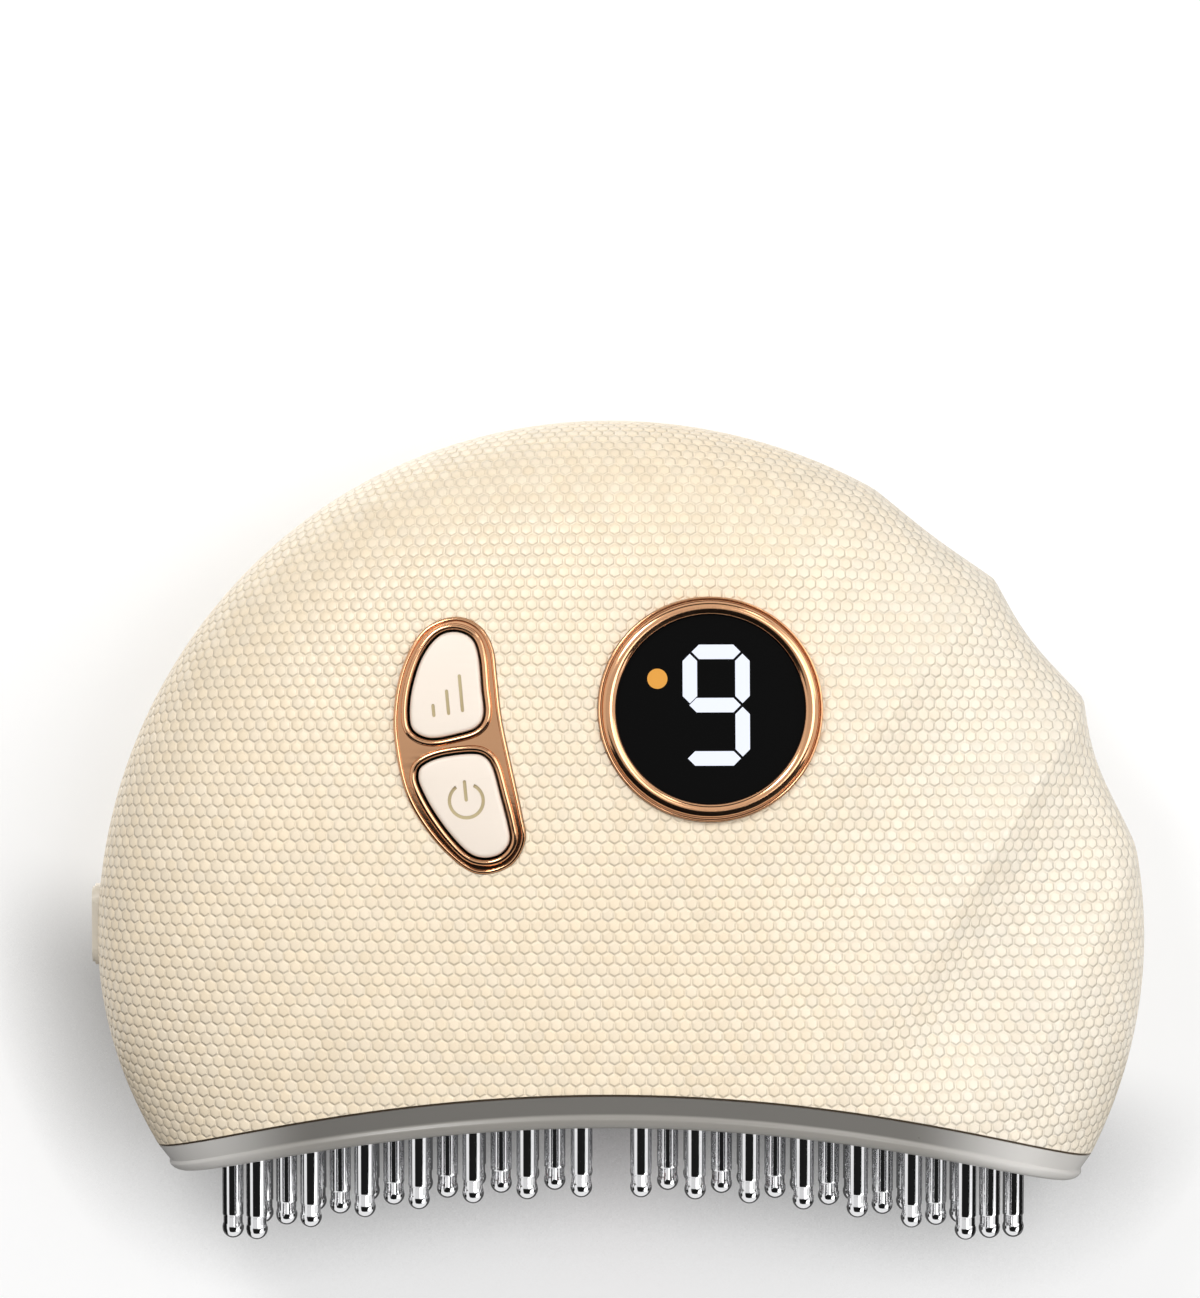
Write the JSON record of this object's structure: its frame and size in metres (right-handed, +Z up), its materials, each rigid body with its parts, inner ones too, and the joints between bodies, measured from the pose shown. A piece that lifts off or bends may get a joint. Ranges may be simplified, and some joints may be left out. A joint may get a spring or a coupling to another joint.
{
  "type": "neck massager",
  "caption": "Round-backed hand-held massager with ball-tipped metal pins under an arched base, a light strip, a digit display and two buttons.",
  "frame": {"origin": "middle of the width and depth of the whole massager, at the height of its lowest ball tips", "axes": "+Z up from the ball tips, the display and buttons face -Y, the charge port faces -X"},
  "size_m": [0.1307, 0.0442, 0.1029],
  "materials": {
    "shell_cream": "satin moulded plastic with a fine cell texture",
    "rim_grey": "smooth semi-gloss moulded plastic",
    "seal_brown": "matt seal",
    "electrode_chrome": "bright plated",
    "window_red": "translucent red light strip",
    "led_red": "clear LED package",
    "board_green": "solder mask",
    "rose_gold": "polished rose-gold finish",
    "lens_black": "clear gloss over black",
    "digit_white": "lit digit",
    "dot_orange": "lit dot",
    "button_cream": "smooth satin plastic",
    "plastic_black": "moulded plastic",
    "plastic_grey": "moulded plastic",
    "trim_tan": "smooth plastic lip",
    "steel": "plated steel",
    "pouch_silver": "laminated foil",
    "tape_white": "foam tape",
    "weight_brass": "sintered weight",
    "sleeve_black": "soft rubber",
    "lead_red": "insulated lead",
    "lead_blue": "insulated lead",
    "lead_orange": "insulated lead",
    "flex_tan": "flat flexible cable"
  },
  "bodies": {
    "housing": {"front_shell": "shell_cream", "rear_shell": "shell_cream", "base_frame": "rim_grey", "seal": "seal_brown", "left_plate": "electrode_chrome", "right_plate": "electrode_chrome", "left_front_pins": "electrode_chrome", "left_middle_pins": "electrode_chrome", "left_rear_pins": "electrode_chrome", "right_front_pins": "electrode_chrome", "right_middle_pins": "electrode_chrome", "right_rear_pins": "electrode_chrome", "light_window": "window_red", "leds": "led_red", "led_board": "board_green", "display_bezel": "rose_gold", "display_lens": "lens_black", "digit_segments": "digit_white", "indicator_dot": "dot_orange", "display_module": "plastic_grey", "display_board": "board_green", "display_screws": "steel", "button_frame": "rose_gold", "level_switch": "plastic_grey", "power_switch": "plastic_grey", "button_board": "board_green", "button_screws": "steel", "port_trim": "trim_tan", "charge_port": "steel", "port_tongue": "plastic_black", "main_board": "board_green", "board_parts": "plastic_black", "main_board_screws": "steel", "battery_cell": "pouch_silver", "battery_tape": "tape_white", "motor_can": "steel", "motor_sleeve": "sleeve_black", "motor_strap": "steel", "strap_screws": "steel", "led_screws": "steel", "frame_screws": "steel", "case_screws": "steel", "battery_leads": "lead_red", "motor_leads": "lead_blue", "electrode_leads": "lead_orange", "led_leads": "lead_red", "display_cable": "flex_tan", "button_cable": "flex_tan"},
    "level_button": {"level_button": "button_cream", "level_plunger": "plastic_black"},
    "power_button": {"power_button": "button_cream", "power_plunger": "plastic_black"},
    "rotor": {"motor_shaft": "steel", "eccentric_weight": "weight_brass"}
  },
  "joints": [
    {"name": "level_press", "type": "slide", "parent": "housing", "child": "level_button", "axis": [0.0696, 0.9933, -0.0921], "range_m": [0, 0.0006], "stiffness_N_per_m": 400, "springref_m": -0.002},
    {"name": "power_press", "type": "slide", "parent": "housing", "child": "power_button", "axis": [0.0696, 0.9933, -0.0921], "range_m": [0, 0.0006], "stiffness_N_per_m": 400, "springref_m": -0.002},
    {"name": "rotor_spin", "type": "hinge", "parent": "housing", "child": "rotor", "pos_m": [-0.0175, -0.002, 0.03514], "axis": [1, 0, 0], "continuous": true}
  ]
}
